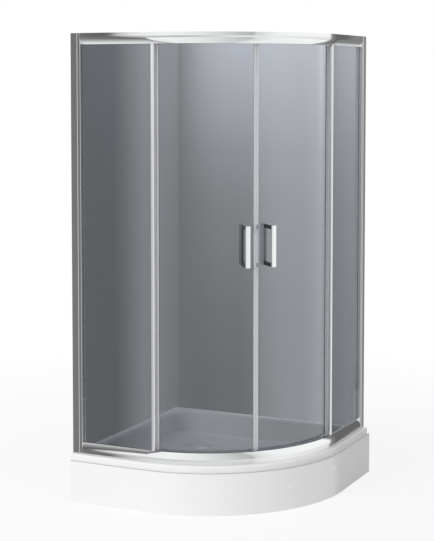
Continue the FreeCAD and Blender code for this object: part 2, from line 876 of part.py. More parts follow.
os.makedirs("parts", exist_ok=True)
for name, shape in parts.items():
    shape.exportStep("parts/" + name + ".step")
print(len(parts), "nodes,", sum(len(shape.Solids) for shape in parts.values()), "solids")
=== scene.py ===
# %% [markdown]
# A quadrant shower enclosure stands in the corner of a bathroom on a raised acrylic tray. Its front is a
# quarter circle of grey glass in bright aluminium rails, and two curved doors slide apart from the middle.
# The solids of every piece are already made. This file gives them real finishes, swaps the plain ones for
# finer meshes, adds the small fixings, and lights the enclosure as in a studio.

# %% Load the frame
import json
import math

import bmesh
import bpy
from mathutils import Matrix, Vector


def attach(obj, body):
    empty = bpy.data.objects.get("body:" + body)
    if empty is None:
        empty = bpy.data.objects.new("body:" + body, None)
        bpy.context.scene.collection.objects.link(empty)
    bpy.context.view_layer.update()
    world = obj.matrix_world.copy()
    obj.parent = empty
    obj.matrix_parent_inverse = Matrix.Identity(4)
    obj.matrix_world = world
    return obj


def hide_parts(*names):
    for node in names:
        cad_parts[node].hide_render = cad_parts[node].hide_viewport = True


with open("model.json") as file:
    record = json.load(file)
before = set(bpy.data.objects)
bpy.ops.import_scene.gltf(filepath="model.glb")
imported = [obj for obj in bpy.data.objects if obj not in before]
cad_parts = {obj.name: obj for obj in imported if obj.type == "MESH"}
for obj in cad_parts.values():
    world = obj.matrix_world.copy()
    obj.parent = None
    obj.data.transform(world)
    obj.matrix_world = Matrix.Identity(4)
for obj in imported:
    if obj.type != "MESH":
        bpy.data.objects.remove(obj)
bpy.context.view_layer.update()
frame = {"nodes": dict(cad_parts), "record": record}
nodes = frame["nodes"]
slots = {part["node"]: part["material_slot"] for part in frame["record"]["subparts"]}
body_of = {node: body for body, names in frame["record"]["behaviour"]["bodies"].items() for node in names}

# %% [markdown]
# The sizes that the added pieces share with the solids are written once, in metres. The front is an arc about
# an upright axis, and a place on it is best told by its angle past the left tangent point, its inset from the
# outer face and its height, so one helper turns those three into a point.

# %% Sizes of the enclosure
MM = 0.001
SIDE = 900 * MM
FRONT_RADIUS = 580 * MM
HALF = SIDE / 2
CENTRE = Vector((HALF - FRONT_RADIUS, FRONT_RADIUS - HALF, 0))
DOOR_OUTER = 59.5 * MM
DOOR_INNER = 64.5 * MM
WASTE = Vector((-235 * MM, 235 * MM, 0))
MIDDLE = Vector((0, 0, 900 * MM))  # half way up, where the lamps point
# The right half is the left half mirrored in the plane x = -y
MIRROR = Matrix(((0, -1, 0, 0), (-1, 0, 0, 0), (0, 0, 1, 0), (0, 0, 0, 1)))


def place_on_front(angle, inset, height, side):
    """Matrix that carries a piece from the origin to the front: X along it, Y inwards, Z up."""
    turn = Matrix.Translation(CENTRE) @ Matrix.Rotation(math.radians(angle), 4, "Z")
    spot = turn @ Matrix.Translation((0, inset - FRONT_RADIUS, height))
    return spot if side == "left" else MIRROR @ spot


print("centre of the curved front", tuple(CENTRE))

# %% [markdown]
# A material's colour is easiest to write as the sRGB hex value that a colour picker gives, but Blender works
# in linear light. One function converts it, and one adds a node with its settings and links, so each material
# below reads as a short list.

# %% Helpers for materials


def colour(code):
    """Linear RGBA from an sRGB hex value."""
    parts = [int(code[i:i + 2], 16) / 255 for i in (1, 3, 5)]
    return tuple(c / 12.92 if c <= 0.04045 else ((c + 0.055) / 1.055) ** 2.4 for c in parts) + (1.0,)


def add_node(tree, kind, inputs=None, **settings):
    """Add one node, set its properties and its sockets, and link the sockets whose value is an output."""
    node = tree.nodes.new("ShaderNode" + kind)
    for name, value in settings.items():
        setattr(node, name, value)
    for name, value in (inputs or {}).items():
        if isinstance(value, bpy.types.NodeSocket):
            tree.links.new(value, node.inputs[name])
        else:
            node.inputs[name].default_value = value
    return node


def new_material(name):
    """An empty node material with its tree and object coordinates."""
    material = bpy.data.materials.new(name)
    material.use_nodes = True
    material.node_tree.nodes.clear()
    place = add_node(material.node_tree, "TexCoord").outputs["Object"]
    return material, material.node_tree, place


def close_material(tree, surface):
    """Link the finished shader to the material's output."""
    add_node(tree, "OutputMaterial", {"Surface": surface.outputs[0]})


print("middle grey is", round(colour("#808080")[0], 3), "in linear light")

# %% [markdown]
# The rails and upright profiles are extruded aluminium, polished and then bright anodised. The die leaves
# faint lines along the extrusion, so the noise that varies the roughness is fine across it and long along it.
# On the curved rails that is fine in height only, and on the uprights fine in plan only.

# %% Bright anodised aluminium
DIE_LINE = 1.2 * MM  # real die lines are near 0.1 mm, drawn coarser so that they show
LINE_DEPTH = 0.1 * MM
PER_METRE = 0.6  # how often the lines change along the extrusion


def bright_anodised_aluminium(name, along, roughness):
    """Polished metal with die lines that run upright or round the front."""
    material, tree, place = new_material(name)
    fine = 1 / DIE_LINE
    scale = (fine, fine, PER_METRE) if along == "upright" else (PER_METRE, PER_METRE, fine)
    lines = add_node(tree, "Mapping", {"Vector": place, "Scale": scale})
    noise = add_node(tree, "TexNoise", {"Vector": lines.outputs[0], "Scale": 1.0, "Detail": 2.0})
    rough = add_node(tree, "MapRange", {
        "Value": noise.outputs[0], "To Min": roughness[0], "To Max": roughness[1],
    })
    bump = add_node(tree, "Bump", {"Height": noise.outputs[0], "Strength": 0.04, "Distance": LINE_DEPTH})
    metal = add_node(tree, "BsdfPrincipled", {
        "Base Color": colour("#ecedee"), "Metallic": 1.0, "Roughness": rough.outputs[0],
        "Normal": bump.outputs[0],
    })
    close_material(tree, metal)
    return material


finishes = {
    "rail_aluminium": bright_anodised_aluminium(
        "bright anodised aluminium, drawn round the front", "front", (0.015, 0.035),
    ),
    "polished_aluminium": bright_anodised_aluminium(
        "bright anodised aluminium, drawn upright", "upright", (0.03, 0.07),
    ),
}
print("aluminium die lines", round(DIE_LINE / MM, 2), "mm apart")

# %% [markdown]
# The pulls, roller caps and drain cover are zinc castings with polished chrome plate. Chrome is a mirror, and
# all that tells it from one is a trace of wiped water, a slow change of roughness over a few centimetres. In
# the photograph the legs of the pulls are much darker and the slim pulls inside almost black. They are the same
# chrome, so each of those dark colours is painted shade on a copy of the plate.

# %% Chrome plate
WIPE = 25 * MM


def chrome_plate(name, code):
    """A mirror of one colour with slow marks of wiping."""
    material, tree, place = new_material(name)
    wiped = add_node(tree, "TexNoise", {"Vector": place, "Scale": 1 / WIPE, "Detail": 4.0, "Roughness": 0.6})
    rough = add_node(tree, "MapRange", {
        "Value": wiped.outputs[0], "From Min": 0.35, "From Max": 0.7, "To Min": 0.03, "To Max": 0.09,
    })
    metal = add_node(tree, "BsdfPrincipled", {
        "Base Color": colour(code), "Metallic": 1.0, "Roughness": rough.outputs[0],
    })
    close_material(tree, metal)
    return material


finishes["chrome"] = chrome_plate("polished chrome plate on zinc", "#f4f5f6")
# Painted shade: the legs' chrome is given a dark colour
finishes["dark_chrome"] = chrome_plate("chrome plate darkened as painted shade on the pull's legs", "#44464a")
# Painted shade: the inner pulls' chrome is given a near black colour
finishes["inner_chrome_painted_shade"] = chrome_plate("chrome plate blackened as painted shade on the inner pulls", "#202125")
print("chrome wipe marks", round(WIPE / MM), "mm")

# %% [markdown]
# The panes are 5 mm toughened float glass, tinted grey in the melt and with a light reflecting film. Tinted
# glass takes its colour from what passes through, so the colour sits in the transmission. Roller waves from
# the toughening oven, about 250 mm apart, bend reflections very slightly. A shadow ray would be stopped by
# refraction, so for those rays alone the pane turns part transparent.

# %% Grey toughened glass
ROLLER_WAVE = 250 * MM
WAVE_DEPTH = 1 * MM
LET_THROUGH = 0.32  # share of a lamp's light that passes a pane


def grey_toughened_glass():
    """Clear tinted glass that refracts, and that shadow rays see as part transparent."""
    material, tree, place = new_material("grey tinted toughened glass")
    wave = add_node(tree, "TexNoise", {"Vector": place, "Scale": 1 / ROLLER_WAVE, "Detail": 1.0})
    bump = add_node(tree, "Bump", {"Height": wave.outputs[0], "Strength": 0.02, "Distance": WAVE_DEPTH})
    path = add_node(tree, "LightPath")
    passed = add_node(tree, "Math", {0: path.outputs["Is Shadow Ray"], 1: LET_THROUGH}, operation="MULTIPLY")
    solid = add_node(tree, "Math", {0: 1.0, 1: passed.outputs[0]}, operation="SUBTRACT")
    glass = add_node(tree, "BsdfPrincipled", {
        "Base Color": colour("#9da1a9"), "Roughness": 0.0, "IOR": 1.9, "Transmission Weight": 1.0,
        "Normal": bump.outputs[0], "Alpha": solid.outputs[0],
    })
    close_material(tree, glass)
    return material


finishes["grey_glass"] = grey_toughened_glass()
print("roller wave", round(ROLLER_WAVE / MM), "mm")

# %% [markdown]
# The tray and its front panel are white cast acrylic, vacuum formed over a mould and backed with resin. The
# sheet is glossy and even, with the faintest orange peel where it stretched. A thin clear coat gives the
# sharp highlight over the softer body.

# %% White acrylic
ORANGE_PEEL = 9 * MM
PEEL_DEPTH = 0.3 * MM
CLOUD = 250 * MM


def white_acrylic():
    """Glossy white sheet with orange peel, a cloudy change of gloss and a thin clear coat."""
    material, tree, place = new_material("white cast acrylic, vacuum formed")
    peel = add_node(tree, "TexNoise", {"Vector": place, "Scale": 1 / ORANGE_PEEL, "Detail": 1.0})
    bump = add_node(tree, "Bump", {"Height": peel.outputs[0], "Strength": 0.05, "Distance": PEEL_DEPTH})
    cloud = add_node(tree, "TexNoise", {"Vector": place, "Scale": 1 / CLOUD, "Detail": 2.0})
    rough = add_node(tree, "MapRange", {"Value": cloud.outputs[0], "To Min": 0.20, "To Max": 0.30})
    body = add_node(tree, "BsdfPrincipled", {
        "Base Color": colour("#f0f0f0"), "Roughness": rough.outputs[0], "IOR": 1.49,
        "Normal": bump.outputs[0], "Coat Weight": 0.3, "Coat Roughness": 0.08,
    })
    close_material(tree, body)
    return material


finishes["white_acrylic"] = white_acrylic()
print("orange peel", round(ORANGE_PEEL / MM), "mm")

# %% [markdown]
# The seals are clear vinyl, extruded soft, and the light that enters them comes out milky. Part of the
# transmission with a blurred surface gives that. The gaskets under the rails are the same material.

# %% Clear vinyl
DRAWN_LINE = 2.5 * MM  # across the seal, drawn as coarse as it needs to show
DRAWN_LENGTH = 500 * MM  # along the seal


def clear_vinyl():
    """Milky soft plastic with lines drawn along it."""
    material, tree, place = new_material("clear extruded vinyl")
    scale = (1 / DRAWN_LINE, 1 / DRAWN_LINE, 1 / DRAWN_LENGTH)
    drawn = add_node(tree, "Mapping", {"Vector": place, "Scale": scale})
    noise = add_node(tree, "TexNoise", {"Vector": drawn.outputs[0], "Scale": 1.0, "Detail": 1.0})
    rough = add_node(tree, "MapRange", {"Value": noise.outputs[0], "To Min": 0.25, "To Max": 0.40})
    vinyl = add_node(tree, "BsdfPrincipled", {
        "Base Color": colour("#d9dbe0"), "Roughness": rough.outputs[0], "IOR": 1.53,
        "Transmission Weight": 0.15,
    })
    close_material(tree, vinyl)
    return material


finishes["clear_seal"] = clear_vinyl()
print("vinyl drawn in lines", round(DRAWN_LINE / MM, 1), "mm wide")

# %% [markdown]
# Moulded plastics and rubber differ only in colour, gloss and the grain of the mould: grey acetal shoes and
# keys, white nylon rollers, a white polypropylene trap, black polypropylene pads, black rubber, and a pale grey
# cord that is painted shadow under the rim of the tray.
# One recipe makes them all, with the size and depth of the grain in millimetres.

# %% Moulded plastics and rubber


def moulded(name, code, gloss, grain, depth):
    """A moulded plastic: its colour, its roughness range, and the size and depth of the mould's grain."""
    material, tree, place = new_material(name)
    texture = add_node(tree, "TexNoise", {"Vector": place, "Scale": 1 / grain, "Detail": 3.0})
    rough = add_node(tree, "MapRange", {"Value": texture.outputs[0], "To Min": gloss[0], "To Max": gloss[1]})
    bump = add_node(tree, "Bump", {"Height": texture.outputs[0], "Strength": 0.3, "Distance": depth})
    body = add_node(tree, "BsdfPrincipled", {
        "Base Color": colour(code), "Roughness": rough.outputs[0], "Normal": bump.outputs[0],
    })
    close_material(tree, body)
    return material


finishes["grey_plastic"] = moulded("moulded grey acetal", "#7e8186", (0.32, 0.45), 2 * MM, 0.05 * MM)
finishes["nylon"] = moulded("turned white nylon", "#e2e2dd", (0.30, 0.42), 3 * MM, 0.03 * MM)
finishes["trap_plastic"] = moulded("white polypropylene", "#dfdfdb", (0.35, 0.50), 4 * MM, 0.10 * MM)
finishes["black_plastic"] = moulded("black polypropylene", "#1f2022", (0.40, 0.60), 2 * MM, 0.12 * MM)
finishes["rubber"] = moulded("black moulded rubber", "#1a1a1a", (0.60, 0.80), 2 * MM, 0.10 * MM)
# A pale grey cord, painted as the shadow in the gap under the tray's rim
finishes["painted_shadow_grey"] = moulded("pale grey cord painting the shadow under the rim", "#b6b7b9", (0.70, 0.90), 1 * MM, 0.20 * MM)
print(len(finishes), "finishes so far")

# %% [markdown]
# Under the tray sit three plain materials. Zinc plated bolts are dull silver with a faint yellow. Galvanised
# tube shows its spangle, zinc crystals some 12 mm across that differ a little in brightness, which a Voronoi
# texture draws well. Particle board is pressed from wood chips, a Voronoi of stretched cells.

# %% Zinc, galvanised steel and particle board
ZINC_GRAIN = 3 * MM
SPANGLE = 12 * MM
CHIP = 6 * MM
CHIP_SHAPE = (1, 1.8, 3)  # how much narrower a chip is along X, Y and Z
CHIP_DEPTH = 0.3 * MM


def zinc_plate():
    """Dull bright metal with a soft grain."""
    material, tree, place = new_material("bright zinc plated steel")
    noise = add_node(tree, "TexNoise", {"Vector": place, "Scale": 1 / ZINC_GRAIN, "Detail": 3.0})
    rough = add_node(tree, "MapRange", {"Value": noise.outputs[0], "To Min": 0.28, "To Max": 0.42})
    metal = add_node(tree, "BsdfPrincipled", {
        "Base Color": colour("#c9c8c2"), "Metallic": 1.0, "Roughness": rough.outputs[0],
    })
    close_material(tree, metal)
    return material


def galvanised_steel():
    """Zinc crystals in two greys, each with its own gloss."""
    material, tree, place = new_material("galvanised steel tube")
    spangle = add_node(tree, "TexVoronoi", {"Vector": place, "Scale": 1 / SPANGLE})
    grey = add_node(tree, "RGBToBW", {"Color": spangle.outputs["Color"]})
    tone = add_node(tree, "ValToRGB", {"Fac": grey.outputs[0]})
    tone.color_ramp.elements[0].color = colour("#989c9f")
    tone.color_ramp.elements[1].color = colour("#b9bdbf")
    rough = add_node(tree, "MapRange", {"Value": grey.outputs[0], "To Min": 0.35, "To Max": 0.55})
    metal = add_node(tree, "BsdfPrincipled", {
        "Base Color": tone.outputs[0], "Metallic": 1.0, "Roughness": rough.outputs[0],
    })
    close_material(tree, metal)
    return material


def particle_board():
    """Pressed chips between two browns."""
    material, tree, place = new_material("raw particle board")
    flat = add_node(tree, "Mapping", {"Vector": place, "Scale": CHIP_SHAPE})
    chips = add_node(tree, "TexVoronoi", {"Vector": flat.outputs[0], "Scale": 1 / CHIP})
    grey = add_node(tree, "RGBToBW", {"Color": chips.outputs["Color"]})
    tone = add_node(tree, "ValToRGB", {"Fac": grey.outputs[0]})
    tone.color_ramp.elements[0].color = colour("#8d7350")
    tone.color_ramp.elements[1].color = colour("#c8ad82")
    bump = add_node(tree, "Bump", {"Height": grey.outputs[0], "Strength": 0.4, "Distance": CHIP_DEPTH})
    board = add_node(tree, "BsdfPrincipled", {
        "Base Color": tone.outputs[0], "Roughness": 0.85, "Normal": bump.outputs[0],
    })
    close_material(tree, board)
    return material


finishes["zinc_steel"] = zinc_plate()
finishes["galvanised_steel"] = galvanised_steel()
finishes["board"] = particle_board()
print(len(finishes), "finishes in all")

# %% [markdown]
# Each solid arrives as loose flat triangles. Its copy has their corners merged and flat neighbours joined, and
# then stands for the solid and rides on the same body, so it opens and slides with it.

# %% Copies of the solids
MERGE = 0.002 * MM
FLAT = math.radians(0.4)
SMOOTH = math.radians(28)
finished = {}


def merged(node):
    """A solid's mesh with its corners merged and the cuts across its flat faces taken out."""
    work = bmesh.new()
    work.from_mesh(nodes[node].data)
    bmesh.ops.remove_doubles(work, verts=work.verts, dist=MERGE)
    bmesh.ops.dissolve_limit(work, angle_limit=FLAT, verts=work.verts, edges=work.edges)
    return work


def new_piece(name, work, body, slot, finish=None):
    """Turn a bmesh into a smooth object that rides on a body, with its slot's finish."""
    mesh = bpy.data.meshes.new(name)
    work.to_mesh(mesh)
    work.free()
    mesh.shade_smooth()
    mesh.set_sharp_from_angle(angle=SMOOTH)
    mesh.materials.append(finishes[finish or slot])
    piece = bpy.data.objects.new(name, mesh)
    bpy.context.scene.collection.objects.link(piece)
    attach(piece, body)
    return piece


def stand_for(node, work, finish=None):
    """A finished piece that takes the place of a solid."""
    piece = new_piece(node + "_finished", work, body_of[node], slots[node], finish)
    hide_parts(node)
    finished[node] = piece
    return piece


print(sum(len(node.data.polygons) for node in nodes.values()), "triangles in the solids")

# %% [markdown]
# The rails and the front panel are one section carried along the front: straight, a quarter turn, and straight
# again. A bright rail shows every facet, so it is spun afresh in fine steps. Its section doesn't have to be
# drawn: a plane through the solid's straight end cuts it out exactly.

# %% Rails and front panel
STEPS = 90
INTO_STRAIGHT = 60 * MM
LEVEL = 0.01  # an upright face's normal has less than this in Z


def corners_in(items):
    """The corners among what an operator made."""
    return [item for item in items if isinstance(item, bmesh.types.BMVert)]


def edges_in(items):
    """The edges among what an operator made."""
    return [item for item in items if isinstance(item, bmesh.types.BMEdge)]


def outline_of(node):
    """Section of a swept solid as loose edges, moved to the left end of the piece."""
    work = merged(node)
    cut_at = Vector((CENTRE.x - INTO_STRAIGHT, 0, 0))
    everything = work.verts[:] + work.edges[:] + work.faces[:]
    bmesh.ops.bisect_plane(
        work, geom=everything, plane_co=cut_at, plane_no=(1, 0, 0), clear_inner=True, clear_outer=True,
    )
    bmesh.ops.remove_doubles(work, verts=work.verts, dist=MERGE)
    bmesh.ops.dissolve_limit(work, angle_limit=FLAT, verts=work.verts, edges=work.edges)
    start = min(corner.co.x for corner in nodes[node].data.vertices)
    bmesh.ops.translate(work, verts=work.verts, vec=(start - cut_at.x, 0, 0))
    return work, start


def sweep_round_front(work, start):
    """Carry the loose edges of a section, which lie at the left end, round the whole front."""
    first = work.edges[:]
    straight = CENTRE.x - start
    grown = bmesh.ops.extrude_edge_only(work, edges=first)["geom"]
    bmesh.ops.translate(work, verts=corners_in(grown), vec=(straight, 0, 0))
    spun = bmesh.ops.spin(
        work, geom=edges_in(grown), cent=CENTRE, axis=(0, 0, 1), angle=math.radians(90), steps=STEPS,
        use_merge=False,
    )["geom_last"]
    grown = bmesh.ops.extrude_edge_only(work, edges=edges_in(spun))["geom"]
    bmesh.ops.translate(work, verts=corners_in(grown), vec=(0, straight, 0))
    last = edges_in(grown)
    bmesh.ops.triangle_fill(work, edges=first, use_beauty=True)
    bmesh.ops.triangle_fill(work, edges=last, use_beauty=True)
    bmesh.ops.remove_doubles(work, verts=work.verts, dist=MERGE)
    bmesh.ops.recalc_face_normals(work, faces=work.faces)
    return work


for node in ("top_rail", "bottom_rail", "front_panel"):
    work = sweep_round_front(*outline_of(node))
    print(node, len(work.faces), "faces, volume", round(work.calc_volume() * 1e6, 1), "cm3")
    piece = stand_for(node, work, "rail_aluminium" if node.endswith("rail") else None)
    # The flat part of the skin stays flat where the round nose begins
    work = bmesh.new()
    work.from_mesh(piece.data)
    for edge in work.edges:
        upright = [abs(side.normal.z) < LEVEL for side in edge.link_faces]
        if any(upright) and not all(upright):
            edge.smooth = False
    work.to_mesh(piece.data)
    work.free()

# %% [markdown]
# The front panel clips in under the rim of the tray. A thin grey cord laid in the gap between them is painted
# shadow: it draws the fine dark line under the rim. It is a circle carried round the front like the rails.

# %% Grey cord of painted shadow under the rim
CORD_RADIUS = 1.6 * MM
CORD_INSET = 1.9 * MM
CORD_DROP = 0.2 * MM
PANEL_TOP = 160 * MM

work = bmesh.new()
bmesh.ops.create_circle(work, cap_ends=False, segments=8, radius=CORD_RADIUS)
bmesh.ops.rotate(work, verts=work.verts, cent=(0, 0, 0), matrix=Matrix.Rotation(math.radians(90), 3, "Y"))
cord_spot = (-HALF, CENTRE.y - FRONT_RADIUS + CORD_INSET, PANEL_TOP - CORD_DROP)
bmesh.ops.translate(work, verts=work.verts, vec=cord_spot)
# The cord fills the gap under the rim as painted shadow
new_piece("painted_shadow_cord", sweep_round_front(work, -HALF), "enclosure", "rubber", "painted_shadow_grey")
print("foam cord", round(2 * CORD_RADIUS / MM, 1), "mm thick")

# %% [markdown]
# The doors are bent glass, and drilled for the rollers and pulls. Their solid has the right shape, but smooth
# shading goes wrong round a hole in a curved face. Every point of the two faces truly looks straight at the
# axis of the curve or away from it, so those normals are written into a copy.

# %% Curved glass
FACING = 0.95  # a face of the pane looks at the axis or away from it by at least this cosine

for node in ("door_glass_left", "door_glass_right"):
    piece = stand_for(node, merged(node))
    mesh = piece.data
    normals = []
    for polygon in mesh.polygons:
        for corner in polygon.vertices:
            out = mesh.vertices[corner].co - CENTRE
            out.z = 0
            out.normalize()
            agree = out.dot(polygon.normal)
            curved = abs(agree) > FACING
            normals.append(out.copy() * math.copysign(1, agree) if curved else polygon.normal.copy())
    mesh.normals_split_custom_set(normals)
    print(node, len(mesh.polygons), "faces")

# %% [markdown]
# A moulding, a casting or a sawn board has no edge sharper than its tool, and that small round is what catches
# the light. A Bevel modifier rounds the sharp edges of the other pieces by a width for each material, and
# Weighted Normal keeps their flat faces looking flat.

# %% Rounded edges
EDGE_MM = {
    "polished_aluminium": 0.25, "white_acrylic": 0.6, "chrome": 0.6, "grey_plastic": 0.3, "trap_plastic": 0.6,
    "black_plastic": 0.5, "board": 0.5, "galvanised_steel": 0.8, "zinc_steel": 0.3, "rubber": 0.4,
    "clear_seal": 0.2, "nylon": 0.3, "grey_glass": 0.4,
}


def round_edges(piece, width):
    """Round a piece's sharp edges with modifiers."""
    bevel = piece.modifiers.new("rounded edges", "BEVEL")
    bevel.width = width
    bevel.segments = 2
    bevel.limit_method = "ANGLE"
    bevel.angle_limit = SMOOTH
    bevel.use_clamp_overlap = True
    even = piece.modifiers.new("flat faces", "WEIGHTED_NORMAL")
    even.keep_sharp = False


print("edges rounded by", min(EDGE_MM.values()), "to", max(EDGE_MM.values()), "mm")

# %% [markdown]
# Each outer pull is a bright grip on two legs. They are one casting, so the piece keeps one mesh, and the
# faces behind the grip take a second material: the same chrome, darkened as painted shade. The slim pull inside
# is almost black in the photograph, and its chrome is blackened as painted shade.

# %% Pulls
PULL_REACH = 57.5 * MM
GRIP_DEPTH = 9 * MM
GRIP_BACK = DOOR_OUTER - PULL_REACH + GRIP_DEPTH
CLEAR_OF_GRIP = 0.5 * MM
PULL_EDGE = 0.8 * MM


def inset_of(point, side):
    """How far a point of the curved front is inside the outer face."""
    at = MIRROR @ point if side == "right" else point
    return FRONT_RADIUS - (Vector((at.x, at.y, 0)) - CENTRE).length


for side in ("left", "right"):
    work = merged("outer_handle_" + side)
    for face in work.faces:
        behind = inset_of(face.calc_center_median(), side) > GRIP_BACK + CLEAR_OF_GRIP
        face.material_index = 1 if behind else 0
    pull = stand_for("outer_handle_" + side, work)
    # The legs behind the grip take the chrome that is darkened as painted shade
    pull.data.materials.append(finishes["dark_chrome"])
    round_edges(pull, PULL_EDGE)
    # The inner pull takes the chrome that is blackened as painted shade
    slim = stand_for("inner_handle_" + side, merged("inner_handle_" + side), "inner_chrome_painted_shade")
    round_edges(slim, PULL_EDGE)
    print(side, "pull", len(pull.data.polygons), "faces")

# %% [markdown]
# Inside, a domed chrome cap closes each roller's axle. A dome is a short outline spun about its own axis: half
# a cap's section, from the rim to the crown. The finished cap is then set on the glass.

# %% Roller caps
CAP_RADIUS = 9 * MM
CAP_HEIGHT = 7 * MM
CAP_SEAT = DOOR_INNER + 0.1 * MM
ROLLER_ANGLES = (21.5, 41.0)
ROLLER_HEIGHT = 1777.7 * MM


def turned(outline, steps=32):
    """Solid of revolution about Z from an outline of (radius, height) points that starts and ends on the axis."""
    work = bmesh.new()
    corners = [work.verts.new((radius, 0, height)) for radius, height in outline]
    edges = [work.edges.new(pair) for pair in zip(corners, corners[1:])]
    bmesh.ops.spin(
        work, geom=corners + edges, cent=(0, 0, 0), axis=(0, 0, 1), angle=math.radians(360), steps=steps,
        use_merge=True,
    )
    bmesh.ops.remove_doubles(work, verts=work.verts, dist=MERGE)
    bmesh.ops.recalc_face_normals(work, faces=work.faces)
    return work


def join(parts):
    """One bmesh from several."""
    whole = bmesh.new()
    for part in parts:
        mesh = bpy.data.meshes.new("part")
        part.to_mesh(mesh)
        part.free()
        whole.from_mesh(mesh)
        bpy.data.meshes.remove(mesh)
    return whole


CAP = (
    (0, 0), (CAP_RADIUS - 0.6 * MM, 0), (CAP_RADIUS, 0.6 * MM), (CAP_RADIUS, 3.4 * MM),
    (CAP_RADIUS - 0.5 * MM, 4.4 * MM), (CAP_RADIUS - 2.0 * MM, 5.6 * MM), (CAP_RADIUS - 4.4 * MM, 6.5 * MM),
    (CAP_RADIUS - 7.0 * MM, 6.9 * MM), (0, CAP_HEIGHT),
)
for side in ("left", "right"):
    caps = []
    for angle in ROLLER_ANGLES:
        cap = turned(CAP)
        # The cap's axis points inwards, along Y at its place on the front
        lying = place_on_front(angle, CAP_SEAT, ROLLER_HEIGHT, side) @ Matrix.Rotation(math.radians(-90), 4, "X")
        bmesh.ops.transform(cap, matrix=lying, verts=cap.verts)
        caps.append(cap)
    work = join(caps)
    bmesh.ops.recalc_face_normals(work, faces=work.faces)
    stand_for("roller_caps_" + side, work)
print("caps", round(2 * CAP_RADIUS / MM), "mm across")

# %% [markdown]
# The waste is covered by a chrome disc, slightly domed with a rolled rim. It is turned the same way, and three
# lugs below keep it in the middle of the flange. A lug is a box with bevelled edges.

# %% Drain cover
COVER_RADIUS = 52 * MM
COVER_TOP = max(corner.co.z for corner in nodes["drain_cover"].data.vertices)
COVER_SEAT = 82.6 * MM
LUG = (2.5 * MM, 6 * MM)
LUG_DROP = 6 * MM
LUG_SINK = 1 * MM
LUG_RING = 37.2 * MM
SMALL_EDGE = 0.5 * MM


def bevelled_box(size):
    """A small box about the origin with its edges rounded."""
    work = bmesh.new()
    bmesh.ops.create_cube(work, size=1.0)
    bmesh.ops.scale(work, vec=size, verts=work.verts)
    bmesh.ops.bevel(
        work, geom=work.edges[:], offset=SMALL_EDGE, segments=2, profile=0.5, affect="EDGES", material=-1,
    )
    return work


cover = turned((
    (0, COVER_SEAT), (COVER_RADIUS - 0.8 * MM, COVER_SEAT), (COVER_RADIUS, COVER_SEAT + 0.8 * MM),
    (COVER_RADIUS, COVER_TOP - 2.2 * MM), (COVER_RADIUS - 1.0 * MM, COVER_TOP - 1.2 * MM),
    (COVER_RADIUS - 3.0 * MM, COVER_TOP - 0.9 * MM), (COVER_RADIUS - 4.2 * MM, COVER_TOP - 1.3 * MM),
    (COVER_RADIUS - 6.0 * MM, COVER_TOP - 0.9 * MM), (COVER_RADIUS * 0.6, COVER_TOP - 0.35 * MM),
    (COVER_RADIUS * 0.25, COVER_TOP - 0.05 * MM), (0, COVER_TOP),
), steps=64)
parts = [cover]
for turn in (0, 120, 240):
    lug = bevelled_box((*LUG, LUG_DROP + LUG_SINK))
    bmesh.ops.translate(lug, vec=(LUG_RING, 0, COVER_SEAT - LUG_DROP / 2 + LUG_SINK / 2), verts=lug.verts)
    bmesh.ops.rotate(lug, cent=(0, 0, 0), matrix=Matrix.Rotation(math.radians(turn), 3, "Z"), verts=lug.verts)
    parts.append(lug)
work = join(parts)
bmesh.ops.translate(work, vec=WASTE, verts=work.verts)
stand_for("drain_cover", work)
print("drain cover", round(2 * COVER_RADIUS / MM), "mm across")

# %% [markdown]
# The tray stands on six levelling feet. The stud's thread is drawn as rings, which from any distance looks like
# a thread and keeps the mesh small: a zigzag outline, spun once. The nut is a six-sided cone with its corners
# taken off, and the pad is a turned plastic foot.

# %% Levelling feet
FEET = ((-260, -215), (110, -215), (-290, 20), (240, 20), (-290, 335), (240, 335))  # mm, in plan
PAD_TOP = 12 * MM
NUT_TOP = 22 * MM
STUD_TOP = 57.5 * MM
STUD_RADIUS = 6 * MM
STUD_SINK = 1 * MM
THREAD_PITCH = 1.75 * MM
THREAD_DEPTH = 0.9 * MM
NUT_FLATS = 19 * MM
NUT_EDGE = 0.8 * MM

turns = int((STUD_TOP - NUT_TOP) / THREAD_PITCH)
thread = [(0, NUT_TOP - STUD_SINK)]
for turn in range(turns):
    thread.append((STUD_RADIUS - THREAD_DEPTH, NUT_TOP + turn * THREAD_PITCH))
    thread.append((STUD_RADIUS, NUT_TOP + (turn + 0.5) * THREAD_PITCH))
thread += [(STUD_RADIUS - 1.2 * MM, STUD_TOP), (0, STUD_TOP)]
pad_outline = (
    (0, 0), (24.2 * MM, 0), (25 * MM, 0.8 * MM), (25 * MM, 4 * MM), (22.5 * MM, 6.5 * MM), (16 * MM, 9.5 * MM),
    (14 * MM, PAD_TOP), (0, PAD_TOP),
)
bolts = []
pads = []
for x, y in FEET:
    spot = Vector((x * MM, y * MM, 0))
    stud = turned(thread, steps=20)
    nut = bmesh.new()
    bmesh.ops.create_cone(
        nut, cap_ends=True, segments=6, radius1=NUT_FLATS / math.sqrt(3), radius2=NUT_FLATS / math.sqrt(3),
        depth=NUT_TOP - PAD_TOP,
    )
    bmesh.ops.bevel(
        nut, geom=nut.edges[:], offset=NUT_EDGE, segments=2, profile=0.5, affect="EDGES", material=-1,
    )
    bmesh.ops.translate(nut, vec=(0, 0, (NUT_TOP + PAD_TOP) / 2), verts=nut.verts)
    pad = turned(pad_outline, steps=32)
    for part in (stud, nut, pad):
        bmesh.ops.translate(part, vec=spot, verts=part.verts)
    bolts += [stud, nut]
    pads.append(pad)
stand_for("foot_bolts", join(bolts))
stand_for("foot_pads", join(pads))
print(len(FEET), "feet,", turns, "rings of thread each")

# %% [markdown]
# The trap is blow moulded and round, with a union nut's collar under the seal. Its cup and its spigot are two
# turned tubes, and the spigot is laid on its side, towards the left wall.

